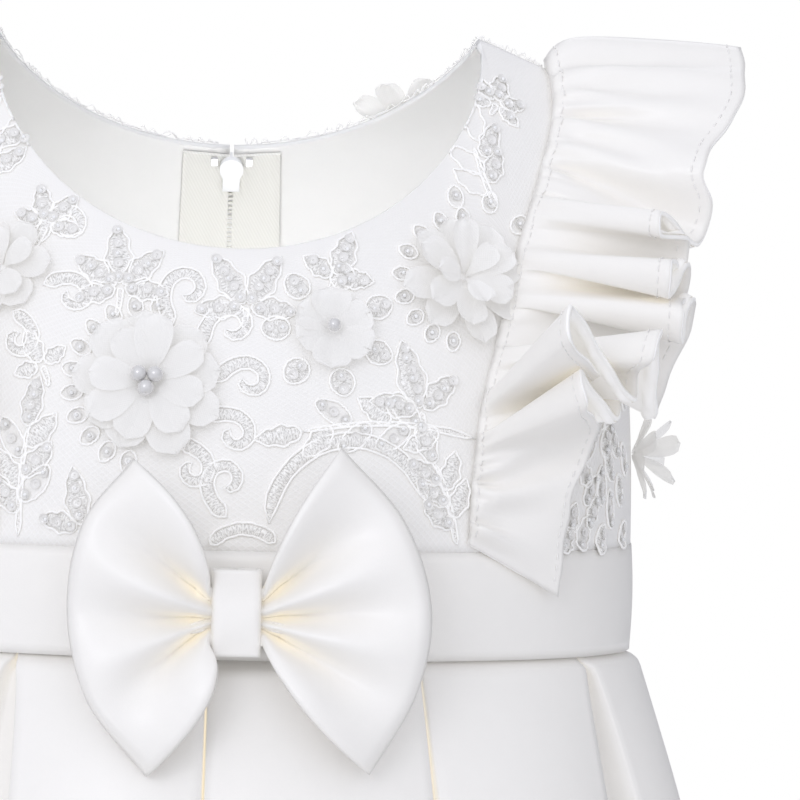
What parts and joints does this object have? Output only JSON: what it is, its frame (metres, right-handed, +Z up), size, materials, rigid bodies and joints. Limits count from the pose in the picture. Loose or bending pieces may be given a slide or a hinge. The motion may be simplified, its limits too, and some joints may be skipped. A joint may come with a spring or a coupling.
{
  "type": "toddler christening gown",
  "caption": "Toddler's satin christening gown in worn form, with a lace bodice, flutter sleeves, a waistband with a flat bow, a box-pleated skirt and a back zip.",
  "frame": {"origin": "midway between the shoulders, at the height of the shoulder seams at the neck", "axes": "+Z up along the wearer, -Y to the front, +X to the wearer's left"},
  "size_m": [0.3876, 0.3319, 0.522],
  "materials": {
    "satin": "ivory white satin, soft sheen",
    "lace_panel": "matt tulle over a smooth lining",
    "zip_tape": "cream woven tape",
    "painted_metal": "off-white enamel",
    "bright_metal": "bright plate",
    "chiffon": "sheer matt white",
    "lace_cord": "lustrous white embroidery thread"
  },
  "bodies": {
    "gown": {"waistband_front": "satin", "waistband_back_left": "satin", "waistband_back_right": "satin", "skirt_front": "satin", "skirt_back_left": "satin", "skirt_back_right": "satin", "ruffle_left": "satin", "ruffle_right": "satin", "bow_loop_left": "satin", "bow_loop_right": "satin", "bow_knot": "satin", "bodice_front": "lace_panel", "bodice_back_left": "lace_panel", "bodice_back_right": "lace_panel", "zip_tape_left": "zip_tape", "zip_tape_right": "zip_tape", "zip_slider": "painted_metal", "zip_stop_left": "bright_metal", "zip_stop_right": "bright_metal", "flower_front_large": "chiffon", "flower_front_small": "chiffon", "flower_front_right": "chiffon", "flower_front_left": "chiffon", "flower_side_left": "chiffon", "flower_side_right": "chiffon", "flower_back_left": "chiffon", "flower_back_right": "chiffon", "lace_neck_right": "lace_cord", "lace_neck_left": "lace_cord", "lace_branch_left": "lace_cord", "lace_branch_right": "lace_cord", "lace_waist_centre": "lace_cord", "lace_side_left": "lace_cord", "lace_side_right": "lace_cord", "lace_back_left": "lace_cord", "lace_back_right": "lace_cord"},
    "zip_pull": {"zip_pull": "painted_metal"}
  },
  "joints": [
    {"name": "zip_pull_hinge", "type": "hinge", "parent": "gown", "child": "zip_pull", "pos_m": [0, 0.05165, -0.03195], "axis": [1, 0, 0], "range_deg": [0, 150]}
  ]
}
